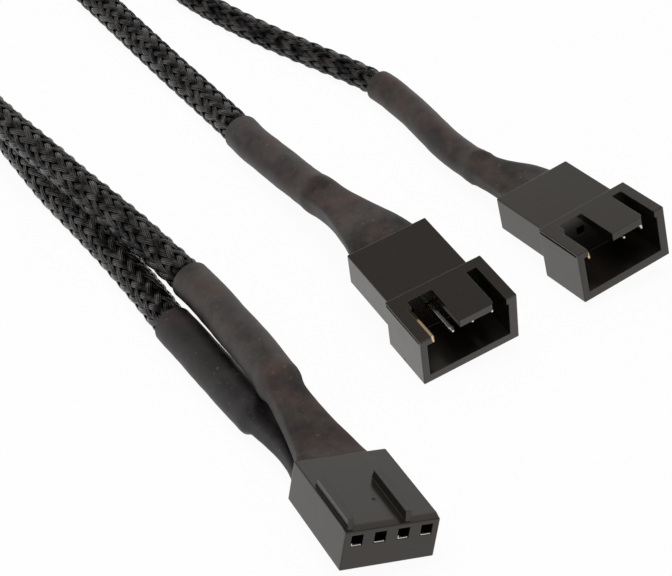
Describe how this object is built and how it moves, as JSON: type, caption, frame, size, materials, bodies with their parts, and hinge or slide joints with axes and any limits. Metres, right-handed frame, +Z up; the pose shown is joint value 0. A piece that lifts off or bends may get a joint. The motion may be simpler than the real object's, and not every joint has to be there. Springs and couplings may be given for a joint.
{
  "type": "fan splitter cable",
  "caption": "Computer fan splitter cable: a holed plug whose two braided leads each end in a pin housing with heat-shrink sleeves.",
  "frame": {"origin": "middle of the box of the three connectors and their sleeves, at its underside", "axes": "+Z up from the surface the cable lies on; +Y from the plug's mating face towards its cable, +X to the right seen from that face"},
  "size_m": [0.0726, 0.1456, 0.0095],
  "materials": {
    "housing_plastic": "satin black moulded plastic",
    "tinned_metal": "tin-plated",
    "gilt_metal": "gilt",
    "heat_shrink": "matte",
    "wire_insulation": "satin",
    "braid": "woven"
  },
  "bodies": {
    "root": {"female_housing": "housing_plastic", "male_housing_a": "housing_plastic", "male_housing_b": "housing_plastic", "socket_1": "tinned_metal", "socket_2": "tinned_metal", "socket_3": "tinned_metal", "socket_4": "tinned_metal", "pin_a1": "gilt_metal", "pin_a2": "tinned_metal", "pin_a3": "tinned_metal", "pin_a4": "tinned_metal", "pin_b1": "gilt_metal", "pin_b3": "tinned_metal", "pin_b4": "tinned_metal", "plug_sleeve_a": "heat_shrink", "plug_sleeve_b": "heat_shrink", "housing_sleeve_a": "heat_shrink", "housing_sleeve_b": "heat_shrink", "plug_wire_a1": "wire_insulation", "plug_wire_a2": "wire_insulation", "plug_wire_a3": "wire_insulation", "plug_wire_a4": "wire_insulation", "plug_wire_b1": "wire_insulation", "plug_wire_b2": "wire_insulation", "plug_wire_b4": "wire_insulation", "housing_wire_a1": "wire_insulation", "housing_wire_a2": "wire_insulation", "housing_wire_a3": "wire_insulation", "housing_wire_a4": "wire_insulation", "housing_wire_b1": "wire_insulation", "housing_wire_b3": "wire_insulation", "housing_wire_b4": "wire_insulation", "cord_a": "braid", "cord_b": "braid"}
  },
  "joints": []
}
